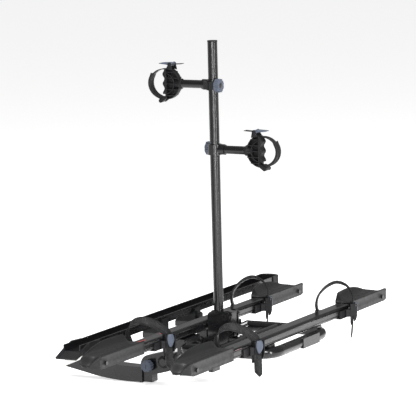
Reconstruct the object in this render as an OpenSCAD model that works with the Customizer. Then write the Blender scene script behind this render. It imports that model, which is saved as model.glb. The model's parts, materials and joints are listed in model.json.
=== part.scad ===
// Hitch mounted rack for two electric bikes, with a stored loading ramp.
// +Z is up, X runs along the wheel trays, +Y points towards the vehicle.
// The origin is the centre of the hitch pin hole in the square shank.

/* [Shank] */
// Outer side of the square shank
shank_side = 50.8; // [50.8:0.1:51]
// Wall of the square shank
shank_wall = 5; // [4:0.5:6]
// Slope of the straight end of the shank, in degrees
shank_slope = 11; // [6:1:14]
// From the shank's end to the hitch pin hole
pin_to_end = 64; // [55:1:70]
// Radius of the hitch pin hole
pin_hole_r = 8.2; // [8:0.1:8.5]
// From the pin hole to where the shank starts to curve
shank_straight = 40; // [30:1:60]

/* [Mast] */
// Distance from the pin hole out to the mast
mast_out = 508; // [490:1:530]
// Height of the hoop's tube centre over the pin hole
hoop_up = 118; // [105:1:130]
// Outer diameter of the mast
mast_d = 32; // [30:1:34]
// Top of the mast over the hoop
mast_top = 966; // [900:2:1000]
// Height of the upper arm over the hoop
upper_arm_z = 827; // [800:1:850]
// Height of the lower arm over the hoop
lower_arm_z = 617; // [580:1:640]

/* [Trays] */
// Distance from the mast to the middle of the vehicle side tray
far_tray_y = 57; // [55:1:62]
// Distance from the mast to the middle of the outer tray
near_tray_y = -258; // [-275:1:-250]
// Width of a tray beam
beam_w = 50; // [46:1:52]
// Height of a tray beam
beam_h = 34; // [32:1:36]
// Underside of the trays over the hoop's tube centre
beam_z = 25; // [24:1:28]
// Inner end of the left wheel cup
left_cup_x = -455; // [-480:5:-450]
// Inner end of the right wheel cup
right_cup_x = 405; // [395:5:430]
// Length of a wheel cup
cup_len = 300; // [290:5:320]
// Width of a wheel cup
cup_w = 90; // [86:1:94]
// Middle of the left wheel strap
left_strap_x = -362; // [-375:1:-350]
// Middle of the right wheel strap
right_strap_x = 342; // [330:1:345]

/* [Hoop] */
// Diameter of the hoop's tube
hoop_d = 36; // [34:1:38]
// Half of the hoop's width at its outer end
hoop_half = 216; // [200:1:220]
// Distance from the mast to the hoop's outer side
hoop_out = 290; // [280:1:300]
// Bend radius of the hoop's outer corners
hoop_bend = 72; // [60:1:90]

/* [Ramp] */
// Distance from the mast to the middle of the stored ramp
ramp_y = 174; // [170:1:180]
// Ramp end on the left
ramp_x0 = -655; // [-900:-400]
// Ramp end on the right
ramp_x1 = 712; // [400:900]
// Width of the ramp
ramp_w = 60; // [56:1:64]
// Height of the ramp's side walls
ramp_h = 25; // [22:1:28]
// Top of the ramp over the hoop's tube centre
ramp_top = 80; // [78:1:84]

/* [Hidden] */
$fn = 64;

// Small overlap that lets one cut pass clear through a face
eps = 0.5;
// Radial gap of a pin that turns in its bore
run_gap = 0.05;
// How far a link's straight sides sit inside its round ends
link_inset = 0.06;
// Gap between flat faces of pieces that move apart
face_gap = 0.4;

// Radius of the shank's long curve, to its middle line
curve_r = 800;
curve_low_y = -shank_straight * cos(shank_slope) - curve_r * sin(shank_slope);
curve_low_z = -shank_straight * sin(shank_slope) - curve_r * (1 - cos(shank_slope));
// How far the curve carries on upwards past its lowest point, in degrees
curve_past = 2.5;
shank_in = shank_side - 2 * shank_wall;
// Side of the pressed, curved part
curve_side = shank_side + 0.5;

// Tilt pivot, in the same frame
pivot_y = -mast_out + 195;
pivot_z = hoop_up - 92;
pivot_bolt_r = 8;
lug_half = 19;
lug_r = 34;
cheek_t = 6;
knob_y = -mast_out + 252;
knob_z = hoop_up - 107;
knob_r = 19;

// Mast fold pivot, in the mast's frame
fold_y = -43;
fold_z = 76;
fold_bolt_r = 6;
lock_z = 13;
foot_half = 20;
foot_r = 72;
bracket_gap = 0.4;
bracket_t = 6;

beam_top = beam_z + beam_h;
cup_floor = beam_top + 4;
// Top of a cup's outer, lower wall and of its inner wall, over the beam's underside
low_wall_h = 43.5;
high_wall_h = 64.5;
// Half width of a cup on its outer side, where it hugs the beam
cup_near = 29.5;
// Length over which a cup covers its beam; past it the floor drops to the nose
cup_cover = 262;
strap_skew = 46;
// How far a buckle turns from facing straight out
buckle_turn = 28;
strap_r = 60;
strap_w = 28;
strap_t = 4;
strap_leg_z = 82;
foot_pin_z = beam_z + 21;

// Hook, measured from the mast's axis along its arm
cradle_y = 172;
cradle_w = 36;
cradle_r = 53;
pad_y = 168;
ring_y = 176;
ring_in = 44;
ring_out = 52;
strap_pivot_y = 186;
strap_pivot_z = -56;
lever_pivot_y = 150;
lever_pivot_z = 63;
arm_r = 13.5;
collar_h = 34;
collar_r = 23;
// Where the clamp knob's spindle passes beside the mast
clamp_x = -24;
spigot_r = 9;
hub_y = 112;

wedge_angle = 56;
rod_r = 3.5;
rod_drop = -15;
rod_low_z = curve_low_z + rod_drop;
knob_spindle_r = 8;
cheek_out = lug_half + face_gap + cheek_t;
bush_r = 12;

leg_turn_y = 5;
leg_end = [22, 152, -66];
crossbar_r = 15;
crossbar_y = -105;
spine_w = 2 * (lug_half + face_gap);
spine_h = 28;
spine_z = -26;
spine_out_y = -136;
elbow = [100, -42];
cheek_r = 30;
spine_in_y = 82;
latch_z = pivot_z - hoop_up;
latch_y = 118;
latch_r = 7;
pin_tip_y = pivot_y + mast_out - lug_r - 0.6;
lever_y = 92;
lever_z = latch_z + 24;
lever_pin_r = 4;
arm_x = 112;
arm_foot_x = 202;
arm_z = 7;
ramp_knob_z = 44;
bracket_in = foot_half + bracket_gap;
lock_r = 5;
mast_low = 34;

beam_x0 = left_cup_x - cup_cover + 5;
beam_x1 = right_cup_x + cup_cover - 5;
left_bolt_x = left_cup_x - cup_cover + 17;
right_bolt_x = right_cup_x + cup_cover - 17;
bolt_z = beam_z + 17;
lever_hinge_z = 60;

black = "#1b1c1e";
plastic = "#2c2d2f";
slate = "#6b7385";
zinc = "#b9bcc0";
rubber = "#222222";

// ---------- helpers ----------

// Straight round bar from point a to point b
module bar(a, b, d) {
    v = b - a;
    length = norm(v);
    translate(a)
        rotate([0, acos(v[2] / length), atan2(v[1], v[0])])
            cylinder(d = d, h = length);
}

// Cylinder centred on the X axis
module x_cylinder(r, length) {
    rotate([0, 90, 0]) cylinder(r = r, h = length, center = true);
}

// Cylinder along +Y from the origin
module y_cylinder(r, length) {
    rotate([-90, 0, 0]) cylinder(r = r, h = length);
}

// Plate in the YZ plane, centred on X, from a 2D outline drawn in Y and Z
module yz_plate(thickness) {
    rotate([90, 0, 90])
        linear_extrude(thickness, center = true) children();
}

// Rectangle with rounded corners, centred
module round_rect(w, h, r) {
    square([w - 2 * r, h], center = true);
    square([w, h - 2 * r], center = true);
    for (sx = [-1, 1], sy = [-1, 1])
        translate([sx * (w / 2 - r), sy * (h / 2 - r)]) circle(r);
}

// Two circles joined by their straight band: a link outline from a to b
module link_outline(a, b, ra) {
    v = b - a;
    translate(a) circle(ra);
    translate(b) circle(ra);
    translate(a) rotate(atan2(v[1], v[0]))
        translate([0, link_inset - ra]) square([norm(v), 2 * (ra - link_inset)]);
}

// Places children in the rack's frame: mast axis at X = Y = 0, hoop centre at Z = 0
module rack() {
    translate([0, -mast_out, hoop_up]) children();
}

// Knob with shallow lobes, its face towards +Z
module lobed_knob(r, h, lobes) {
    difference() {
        cylinder(r = r, h = h);
        for (i = [0:lobes - 1])
            rotate(i * 360 / lobes)
                translate([r + 3.2, 0, -eps]) cylinder(r = 5, h = h + 2 * eps);
    }
}

// ---------- shank ----------

// Straight end of the shank, with any side, reaching a little into the curve
module straight_end(side, end_y) {
    rotate([shank_slope, 0, 0])
        translate([0, -shank_straight - 2, 0])
            rotate([-90, 0, 0])
                linear_extrude(shank_straight + 2 + end_y) square([side, side], center = true);
}

// Sweeps a section along the shank's long curve, at any radius from its centre
module curve_sweep(r) {
    translate([0, curve_low_y, curve_low_z + curve_r])
        rotate([90, 0, 90])
            rotate(-90 - curve_past)
                rotate_extrude(angle = shank_slope + curve_past, $fn = 180)
                    translate([r, 0]) children();
}

// Outline of the solid lug that carries the pivot and the knob
module lug_outline() {
    link_outline([pivot_y, pivot_z], [knob_y, knob_z], lug_r);
    translate([knob_y - 8, curve_low_z - shank_side / 2 + 1]) square([40, 60]);
}

module hitch_shank() {
    color(black)
    difference() {
        union() {
            difference() {
                union() {
                    straight_end(shank_side, pin_to_end);
                    curve_sweep(curve_r) square([curve_side, curve_side], center = true);
                }
                straight_end(shank_in, pin_to_end + 1);
                curve_sweep(curve_r) square([shank_in - 0.8, shank_in - 0.8], center = true);
            }
            yz_plate(2 * lug_half) lug_outline();
            // full width end plate that closes the tube
            yz_plate(shank_side + 1.6)
                translate([curve_low_y - 38, curve_low_z - shank_side / 2 - 0.9])
                    square([11, shank_side + 2.2]);
        }
        x_cylinder(pin_hole_r, shank_side + 2);
        translate([0, pivot_y, pivot_z]) x_cylinder(pivot_bolt_r + run_gap, 80);
        translate([0, knob_y, knob_z]) x_cylinder(knob_spindle_r + run_gap, 80);
        // way for the draw rod up to the knob's spindle
        yz_plate(14) link_outline([knob_y + 6, knob_z - 8], [curve_low_y + 8, rod_low_z + 2], 9);
        wedge_side(0);
    }
}

// Everything past the slanted cut at the shank's end, moved out by a gap
module wedge_side(gap) {
    rotate([shank_slope, 0, 0])
        translate([0, pin_to_end - 4 + gap, -shank_side / 2])
            rotate([wedge_angle, 0, 0])
                translate([-60, 0, -60]) cube([120, 160, 200]);
}

module anti_rattle_wedge() {
    color(zinc)
    difference() {
        intersection() {
            rotate([shank_slope, 0, 0])
                translate([-shank_side / 2, -20, -shank_side / 2])
                    cube([shank_side, pin_to_end + 20, shank_side]);
            wedge_side(0.6);
        }
        // seat of the draw rod
        rotate([shank_slope, 0, 0])
            translate([0, -20, rod_drop]) rotate([-90, 0, 0]) cylinder(r = rod_r, h = 20 + pin_to_end - 8);
    }
}

module draw_rod() {
    color(zinc) {
        rotate([shank_slope, 0, 0])
            translate([0, -shank_straight - 1, rod_drop])
                rotate([-90, 0, 0]) cylinder(r = rod_r, h = shank_straight + pin_to_end - 7);
        translate([0, curve_low_y, curve_low_z + curve_r])
            rotate([90, 0, 90])
                rotate(-90)
                    rotate_extrude(angle = shank_slope, $fn = 180)
                        translate([curve_r - rod_drop, 0]) circle(rod_r - 0.1);
        translate([0, curve_low_y, rod_low_z]) sphere(rod_r + 0.5);
        bar([0, curve_low_y, rod_low_z], [0, knob_y + 16, knob_z - 10], 2 * rod_r);
    }
}

module tightening_knob() {
    color(slate)
    translate([0, knob_y, knob_z])
    difference() {
        union() {
            translate([-shank_side / 2 - 1, 0, 0]) rotate([0, -90, 0]) lobed_knob(knob_r, 20, 8);
            translate([-shank_side / 2 - 2, 0, 0]) rotate([0, 90, 0])
                cylinder(r = knob_spindle_r, h = shank_side / 2 + 2 - 8);
            translate([-shank_side / 2 - 1.5, 0, 0]) rotate([0, 90, 0])
                cylinder(r = 14, h = shank_side / 2 + 1 - lug_half);
        }
        // key slot of the lock core
        translate([-shank_side / 2 - 22, -1.2, -7]) cube([5, 2.4, 14]);
    }
}

module tilt_pivot_bolt() {
    color(black)
    translate([0, pivot_y, pivot_z]) {
        x_cylinder(pivot_bolt_r, 2 * cheek_out + 10);
        for (side = [-1, 1])
            translate([side * (cheek_out + 5), 0, 0])
                rotate([0, 90, 0]) cylinder(r = 14, h = 9, center = true, $fn = 6);
    }
}

// Cover over the latch linkage, along the top edge of the side plates
module knuckle_cover() {
    color(plastic)
    rack()
    yz_plate(2 * cheek_out)
        intersection() {
            difference() {
                link_outline([pivot_y + mast_out, latch_z], elbow, cheek_r + 4);
                link_outline([pivot_y + mast_out, latch_z], elbow, cheek_r);
            }
            translate([104, -60]) square([62, 80]);
        }
}

// ---------- frame ----------

module hoop_tube() {
    for (side = [-1, 1]) {
        translate([side * (hoop_half - hoop_bend), -hoop_out + hoop_bend, 0])
            rotate(side > 0 ? -90 : 180)
                rotate_extrude(angle = 90) translate([hoop_bend, 0]) circle(d = hoop_d);
        bar([side * hoop_half, -hoop_out + hoop_bend, 0], [side * hoop_half, leg_turn_y, 0], hoop_d);
        translate([side * hoop_half, leg_turn_y, 0]) sphere(d = hoop_d + 1);
        bar([side * hoop_half, leg_turn_y, 0], [side * leg_end[0], leg_end[1], leg_end[2]], hoop_d);
    }
    bar([-(hoop_half - hoop_bend), -hoop_out, 0], [hoop_half - hoop_bend, -hoop_out, 0], hoop_d);
}

module base_hoop() {
    color(black)
    rack()
    difference() {
        hoop_tube();
        translate([-cheek_out, 60, -140]) cube([2 * cheek_out, 140, 160]);
    }
}

module crossbar() {
    color(black)
    rack()
    difference() {
        translate([0, crossbar_y, 0]) x_cylinder(crossbar_r, 2 * hoop_half);
        hoop_tube();
        translate([-cheek_out, -200, -60]) cube([2 * cheek_out, 300, 120]);
    }
}

module frame_spine() {
    color(black)
    rack() {
        difference() {
            translate([-spine_w / 2, spine_out_y, spine_z])
                cube([spine_w, spine_in_y - spine_out_y, spine_h]);
            translate([-spine_w / 2 + 4, spine_out_y - eps, spine_z + 4])
                cube([spine_w - 8, spine_in_y - spine_out_y + 2 * eps, spine_h - 8]);
        }
        // plates that take the crossbar
        for (side = [-1, 1])
            translate([side > 0 ? spine_w / 2 : -cheek_out, crossbar_y - 19, spine_z])
                cube([cheek_out - spine_w / 2, 38, spine_h + 14]);
        // seat of the far tray's beam
        translate([-spine_w / 2, far_tray_y - 20, spine_z + spine_h])
            cube([spine_w, 36, beam_z - spine_z - spine_h]);
    }
}

// Side plates between the tilt pivot and the spine, with the latch's block
module tilt_cheeks() {
    color(black)
    rack()
    difference() {
        union() {
            for (side = [-1, 1])
                translate([side * (cheek_out - cheek_t / 2), 0, 0])
                    yz_plate(cheek_t) cheek_outline();
            // block that guides the latch pin
            translate([-cheek_out + cheek_t, latch_y, latch_z - 15])
                cube([2 * (cheek_out - cheek_t), 24, 30]);
        }
        translate([0, pivot_y + mast_out, pivot_z - hoop_up]) x_cylinder(bush_r, 80);
        translate([0, latch_y - 20, latch_z]) y_cylinder(latch_r + run_gap, 80);
        translate([0, lever_y, lever_z]) x_cylinder(lever_pin_r + run_gap, 80);
    }
}

module cheek_outline() {
    link_outline([pivot_y + mast_out, latch_z], elbow, cheek_r);
    link_outline(elbow, [60, -12], 13);
    link_outline(elbow, [lever_y, lever_z], 16);
}

module tilt_bushes() {
    color(rubber)
    translate([0, pivot_y, pivot_z])
    for (side = [-1, 1])
        translate([side * (cheek_out - cheek_t / 2), 0, 0])
            difference() {
                x_cylinder(bush_r, cheek_t);
                x_cylinder(pivot_bolt_r + run_gap, cheek_t + 2);
            }
}

module bumper_plate() {
    color(black)
    rack()
    difference() {
        translate([-10, -hoop_out - hoop_d / 2 - 2, -16]) cube([120, 12, 32]);
        bar([-150, -hoop_out, 0], [150, -hoop_out, 0], hoop_d);
        translate([-12, -hoop_out - 6, -20]) cube([124, 14, 40]);
    }
}

module near_tray_posts() {
    color(black)
    rack()
    difference() {
        for (side = [-1, 1])
            translate([side * 172 - 16, near_tray_y - 22, -6]) cube([32, 44, beam_z + 6]);
        hoop_tube();
    }
}

// Low X of a piece that runs from near to far on one side of the middle
function span_start(side, near, far) = side > 0 ? near : -far;

// L shaped arms from the hoop's legs, under the far tray, out to the ramp
module ramp_arms() {
    color(black)
    rack()
    difference() {
        for (side = [-1, 1])
            union() {
                translate([span_start(side, arm_x - 17, arm_foot_x), 22, arm_z])
                    cube([arm_foot_x - arm_x + 17, 42, beam_z - arm_z]);
                translate([span_start(side, arm_foot_x - 46, arm_foot_x), 22, -24])
                    cube([46, 26, beam_z + 24 - 1]);
                translate([side * arm_x - 17, 22, arm_z])
                    cube([34, ramp_y + 41 - 22, beam_z - arm_z]);
            }
        hoop_tube();
    }
}

module ramp_cradles() {
    color(plastic)
    rack()
    difference() {
        for (side = [-1, 1])
            translate([side * arm_x - 20, ramp_y - ramp_w / 2 - 7, beam_z])
                cube([40, ramp_w + 14, ramp_top - beam_z - 10]);
        translate([-200, ramp_y - ramp_w / 2 - face_gap, ramp_top - ramp_h - face_gap])
            cube([400, ramp_w + 2 * face_gap, 60]);
        // bore of the clamp knob
        translate([arm_x, ramp_y - ramp_w / 2 - 30, ramp_knob_z]) y_cylinder(5 + run_gap, 42);
    }
}

module ramp_clamp_knob() {
    color(plastic)
    rack()
    translate([arm_x, ramp_y - ramp_w / 2 - 7, ramp_knob_z]) {
        translate([0, -2, 0]) y_cylinder(5, 14);
        translate([0, -face_gap, 0]) rotate([90, 0, 0]) lobed_knob(13, 12, 5);
    }
}

module bracket_outline() {
    link_outline([fold_y, fold_z], [fold_y, lock_z], 17);
    translate([fold_y, -30]) square([28 - fold_y, 100]);
    link_outline([fold_y, fold_z], [14, 74], 14);
}

module mast_bracket() {
    color(black)
    rack()
    difference() {
        union() {
            for (side = [-1, 1])
                translate([side * (bracket_in + bracket_t / 2), 0, 0])
                    yz_plate(bracket_t) bracket_outline();
            // web behind the mast's foot
            translate([-bracket_in, 22, spine_z + spine_h]) cube([2 * bracket_in, 6, 36]);
        }
        translate([0, fold_y, fold_z]) x_cylinder(fold_bolt_r, 80);
        translate([-30, fold_y, lock_z]) x_cylinder(lock_r + run_gap, 30);
    }
}

module mast_pivot_bolt() {
    color(black)
    rack()
    translate([0, fold_y, fold_z]) {
        x_cylinder(fold_bolt_r, 2 * (bracket_in + bracket_t));
        for (side = [-1, 1])
            translate([side * (bracket_in + bracket_t), 0, 0])
                rotate([0, side * 90, 0]) lobed_knob(15, 10, 6);
    }
}

module mast_lock_pin() {
    color(black)
    rack()
    translate([-bracket_in - bracket_t, fold_y, lock_z]) {
        translate([-face_gap, 0, 0]) rotate([0, -90, 0]) lobed_knob(15, 16, 6);
        translate([-2, 0, 0]) rotate([0, 90, 0]) cylinder(r = lock_r, h = bracket_t + 12);
    }
}

module tilt_lever() {
    color(black)
    rack()
    difference() {
        union() {
            for (side = [-1, 1])
                translate([side * 12, 0, 0])
                    yz_plate(5) {
                        link_outline([lever_y, lever_z], [lever_y, latch_z + 2], 9);
                        link_outline([lever_y, lever_z], [26, -106], 7);
                    }
            translate([0, lever_y, lever_z]) x_cylinder(lever_pin_r, 2 * cheek_out);
            // grip
            translate([-26, 14, -114]) cube([52, 15, 15]);
        }
        // slots that carry the latch pin's cross pin
        translate([-40, lever_y - 4.5, latch_z - 12]) cube([80, 9, 20]);
    }
}

module tilt_latch_pin() {
    color(zinc)
    rack()
    union() {
        translate([0, lever_y - 5, latch_z]) y_cylinder(latch_r, pin_tip_y - lever_y + 5);
        translate([0, lever_y, latch_z]) x_cylinder(3, 30);
    }
}

// ---------- mast ----------

module mast_foot() {
    color(black)
    rack()
    difference() {
        intersection() {
            translate([-foot_half, fold_y - 14, -10]) cube([2 * foot_half, 14 - fold_y + 18, 100]);
            translate([0, fold_y, fold_z]) x_cylinder(foot_r, 80);
        }
        translate([0, 0, mast_low]) cylinder(d = mast_d, h = 400);
        translate([0, fold_y, fold_z]) x_cylinder(fold_bolt_r + run_gap, 80);
        // slot that the lock pin stands in, open on the outer side
        translate([-foot_half - 1, fold_y, fold_z])
            rotate([90, 0, 90])
                rotate(-116)
                    rotate_extrude(angle = 31.5)
                        translate([fold_z - lock_z - lock_r - face_gap, 0])
                            square([2 * lock_r + 2 * face_gap, 15]);
    }
}

module mast_section() {
    difference() {
        circle(d = mast_d);
        // grooves down both sides
        for (side = [-1, 1])
            translate([side * mast_d / 2, 0]) square([5, 6], center = true);
        circle(d = mast_d - 9);
    }
}

module mast_tube() {
    color(black)
    rack()
    difference() {
        translate([0, 0, mast_low]) linear_extrude(mast_top - mast_low) mast_section();
        // corner rounded to swing clear with the foot
        translate([0, fold_y, fold_z])
            difference() {
                x_cylinder(foot_r + 30, 80);
                x_cylinder(foot_r, 81);
                translate([-60, -200, 0]) cube([120, 400, 200]);
            }
    }
}

module mast_cap() {
    color(plastic)
    rack() {
        translate([0, 0, mast_top]) cylinder(d = mast_d + 1, h = 4);
        translate([0, 0, mast_top - 14]) cylinder(d = mast_d - 9, h = 14);
    }
}

// ---------- arms, drawn along +Y from the mast ----------

module arm_place(which) {
    if (which == "upper")
        rack() translate([0, 0, upper_arm_z]) children();
    else
        rack() translate([0, 0, lower_arm_z]) rotate(180) children();
}

module collar(which) {
    color(black)
    arm_place(which)
    difference() {
        union() {
            translate([0, 0, -collar_h / 2]) cylinder(r = collar_r, h = collar_h);
            translate([0, 14, 0]) y_cylinder(collar_h / 2, 24);
            // split ear that the knob's spindle pulls together
            translate([clamp_x - 12, -20, -13]) cube([30, 38, 26]);
            translate([clamp_x, -23, 0]) y_cylinder(12, 12);
        }
        translate([0, 0, -collar_h]) cylinder(r = mast_d / 2 + run_gap, h = 2 * collar_h);
        translate([0, 24, 0]) y_cylinder(arm_r, 30);
        translate([clamp_x, -60, 0]) y_cylinder(5 + run_gap, 120);
        translate([clamp_x - 20, -1.2, -40]) cube([20 - clamp_x - 14, 2.4, 80]);
    }
}

module arm_tube(which) {
    color(black)
    arm_place(which) {
        translate([0, 24, 0]) y_cylinder(arm_r, hub_y - 24 - face_gap);
        translate([0, 60, 0]) y_cylinder(spigot_r, hub_y + 22 - 60);
    }
}

module arm_knob(which) {
    color(slate)
    arm_place(which)
    difference() {
        union() {
            translate([clamp_x, -23 - face_gap, 0]) rotate([90, 0, 0]) lobed_knob(22, 16, 8);
            translate([clamp_x, -26, 0]) y_cylinder(5, 42);
        }
        translate([clamp_x - 1.2, -42, -7]) cube([2.4, 5, 14]);
    }
}

module cradle_outline() {
    difference() {
        translate([cradle_y, 0]) circle(cradle_r);
        translate([pad_y, -60]) square([100, 120]);
    }
    for (side = [-1, 1])
        translate([pad_y - 2, side * (cradle_r - 4) - 3.5]) square([10, 7]);
}

module hook(which) {
    color(plastic)
    arm_place(which)
    difference() {
        union() {
            yz_plate(cradle_w) cradle_outline();
            translate([0, hub_y, 0]) y_cylinder(17, 12);
            // ears of the ratchet
            for (side = [-1, 1])
                translate([side * (cradle_w / 2 - 1.8), 0, 0]) {
                    yz_plate(3.6) link_outline([lever_pivot_y, lever_pivot_z], [lever_pivot_y + 4, 40], 7);
                    yz_plate(3.6) link_outline([strap_pivot_y, strap_pivot_z], [168, -44], 7);
                }
        }
        translate([0, hub_y - 2, 0]) y_cylinder(spigot_r + run_gap, 24.4);
        // pockets that leave ribs round the cradle's back
        for (side = [-1, 1])
            translate([side * (cradle_w / 2 + 1), 0, 0])
                yz_plate(20)
                    difference() {
                        translate([cradle_y, 0]) circle(cradle_r - 7);
                        translate([cradle_y, 0]) circle(cradle_r - 20);
                        translate([pad_y - 8, -60]) square([100, 120]);
                        for (rib = [-44, -22, 0, 22, 44])
                            translate([cradle_y, 0]) rotate(180 + rib)
                                translate([0, -2]) square([80, 4]);
                    }
        translate([0, lever_pivot_y, lever_pivot_z]) x_cylinder(3, 60);
        translate([0, strap_pivot_y, strap_pivot_z]) x_cylinder(3, 60);
    }
}

module hook_pad(which) {
    color(rubber)
    arm_place(which)
    yz_plate(cradle_w - 2) {
        translate([pad_y, -35]) square([5, 35 + cradle_r - 8]);
        for (z = [-28, 0, 28])
            translate([pad_y + 5.2, z]) circle(5);
    }
}

module hook_strap(which) {
    color(plastic)
    arm_place(which) {
        yz_plate(cradle_w - 8.4) {
            difference() {
                translate([ring_y, 0]) circle(ring_out);
                translate([ring_y, 0]) circle(ring_in);
                translate([ring_y - 100, -80]) square([103, 160]);
            }
            // eye at the lower pivot and tongue at the top
            difference() {
                union() {
                    translate([strap_pivot_y, strap_pivot_z]) circle(6);
                    translate([strap_pivot_y - 5, strap_pivot_z]) square([10, 12]);
                }
                translate([ring_y, 0]) circle(ring_in);
            }
            translate([ring_y + 4, ring_in + 1]) square([6, 11]);
            translate([166, 54]) square([20, 3.5]);
        }
        translate([0, strap_pivot_y, strap_pivot_z]) x_cylinder(3 - run_gap, cradle_w);
    }
}

module hook_lever(which) {
    color(slate)
    arm_place(which) {
        difference() {
            yz_plate(cradle_w - 8) {
                translate([lever_pivot_y, lever_pivot_z]) circle(6);
                translate([lever_pivot_y, lever_pivot_z - 1]) square([42, 6]);
                translate([lever_pivot_y - 40, lever_pivot_z - 1]) square([40, 4]);
            }
        }
        translate([0, lever_pivot_y, lever_pivot_z]) x_cylinder(3 - run_gap, cradle_w);
    }
}

// ---------- trays ----------

module beam(tray_y) {
    color(black)
    rack()
    difference() {
        translate([beam_x0, tray_y, beam_z + beam_h / 2])
            rotate([90, 0, 90])
                linear_extrude(beam_x1 - beam_x0)
                    difference() {
                        round_rect(beam_w, beam_h, 8);
                        round_rect(beam_w - 6, beam_h - 6, 5);
                    }
        bolt_holes(tray_y);
    }
}

// Cross holes of the bolts that hold the cups on one beam
module bolt_holes(tray_y) {
    for (x = [left_bolt_x, right_bolt_x])
        translate([x, tray_y - 60, bolt_z]) y_cylinder(4, 120);
}

// Plan outline of a cup, its inner end at X = 0 and its outer end towards +X
module cup_plan(inset) {
    far = cup_w / 2 - inset;
    near = cup_near - inset;
    nose_r = 47 - inset;
    polygon([
        [inset * 0.3, -near], [cup_len - 45, -near], [cup_len - 45, far],
        [cup_len * 0.42, far], [inset * 0.3, 31 - inset]
    ]);
    intersection() {
        translate([cup_len - 47, 8]) circle(r = nose_r);
        translate([cup_len - 60, -near]) square([80, near + far]);
    }
}

// Side view of a wall, from its inner end, with a rounded outer end
module wall_profile(top, fall_from, fall_r, nose_r) {
    intersection() {
        union() {
            translate([-1, -1]) square([fall_from + 1, top + 1]);
            translate([fall_from, top - fall_r]) circle(r = fall_r, $fn = 180);
        }
        translate([-1, -1]) square([cup_len + 2, top + 1]);
        union() {
            translate([-1, -1]) square([cup_len - nose_r + 2, 100]);
            translate([cup_len - nose_r, top - nose_r - 2]) circle(r = nose_r + 0.5);
            translate([-1, -1]) square([cup_len + 2, 12]);
        }
    }
}

// Everything over a wall's profile, between two distances across the cup
module over_wall(y0, y1) {
    translate([0, y1, 0]) rotate([90, 0, 0]) linear_extrude(y1 - y0)
        difference() {
            translate([-5, 10]) square([cup_len + 10, 90]);
            children();
        }
}

// One wheel cup, inner end at X = 0, running out along +X
module cup_shape() {
    floor_h = cup_floor - beam_z;
    difference() {
        linear_extrude(high_wall_h) cup_plan(0);
        // trough, deeper past the beam's end
        translate([0, 0, floor_h]) linear_extrude(60) cup_plan(4);
        translate([0, 0, 12]) linear_extrude(60)
            intersection() {
                cup_plan(4);
                translate([cup_cover + 4, -100]) square([200, 200]);
            }
        translate([-eps, -cup_near + 4, floor_h]) cube([10, cup_near + 27 - 4, 60]);
        // hollow that the beam runs in
        translate([0, 0, -eps]) linear_extrude(beam_h + eps)
            intersection() {
                cup_plan(4);
                translate([-10, -100]) square([cup_cover + 10, 200]);
            }
        translate([-eps, -cup_near + 4, -eps]) cube([20, cup_near + 25.5 - 4, beam_h + eps]);
        translate([cup_cover + 4, -100, -eps]) cube([200, 200, 8]);
        // the outer wall is low, the inner one high and falling towards the nose
        over_wall(-60, 18) wall_profile(low_wall_h, cup_len, 1, 34);
        over_wall(17.9, 60) wall_profile(high_wall_h, 110, 400, 22);
        // slanted start of the high wall
        translate([0, 60, 0]) rotate([90, 0, 0]) linear_extrude(60)
            polygon([[-2, floor_h + 2], [30, high_wall_h + 2], [-2, high_wall_h + 2]]);
    }
}

module cup(tray_y, inner_x, side) {
    color(plastic)
    rack()
    difference() {
        translate([inner_x, tray_y, beam_z])
            if (side > 0) cup_shape();
            else mirror([1, 0, 0]) cup_shape();
        bolt_holes(tray_y);
    }
}

module cup_bolts() {
    color(black)
    rack()
    for (tray_y = [far_tray_y, near_tray_y], x = [left_bolt_x, right_bolt_x])
        translate([x, tray_y, bolt_z]) {
            translate([0, -cup_near - 1, 0]) y_cylinder(4, cup_near + cup_w / 2 + 2);
            translate([0, -cup_near - 4, 0]) y_cylinder(7, 4);
            translate([0, cup_w / 2, 0]) rotate([-90, 0, 0]) cylinder(r = 7.5, h = 6, $fn = 6);
        }
}

// ---------- wheel straps ----------

module station(tray_y, strap_x) {
    rack() translate([strap_x, tray_y, 0]) children();
}

// The buckle's own frame: X across the strap, -Y facing out from the rack, turned by side
module buckle(side) {
    translate([strap_r * cos(strap_skew), -strap_r * sin(strap_skew), 0]) rotate(side * buckle_turn) children();
}

module strap_base(tray_y, strap_x, side) {
    color(plastic)
    station(tray_y, strap_x)
    difference() {
        union() {
            // channel round the beam's underside
            translate([-26, -beam_w / 2 - 4.4, beam_z - 4.4]) cube([52, beam_w + 8.8, 26]);
            // foot that holds the strap on the vehicle side
            rotate(-strap_skew) translate([-strap_r - 8, -strap_w / 2, beam_z + 2]) cube([38, strap_w, 22]);
            rotate(-strap_skew) translate([strap_r - 28, -strap_w / 2, beam_z - 2]) cube([30, strap_w, 24]);
            // ratchet body
            buckle(side) {
                translate([-18, 2.4, -4]) cube([36, 5.6, 66]);
                for (edge = [-1, 1])
                    translate([edge > 0 ? strap_w / 2 + face_gap : -18, -14, 26])
                        cube([18 - strap_w / 2 - face_gap, 22, 40]);
            }
        }
        translate([-100, -beam_w / 2 - face_gap, beam_z - face_gap]) cube([200, beam_w + 2 * face_gap, 80]);
        buckle(side) {
            translate([-strap_w / 2 - face_gap, -42.4, -60]) cube([strap_w + 2 * face_gap, 44.8, 200]);
            translate([0, -8, lever_hinge_z]) x_cylinder(3, 60);
        }
    }
}

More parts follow.
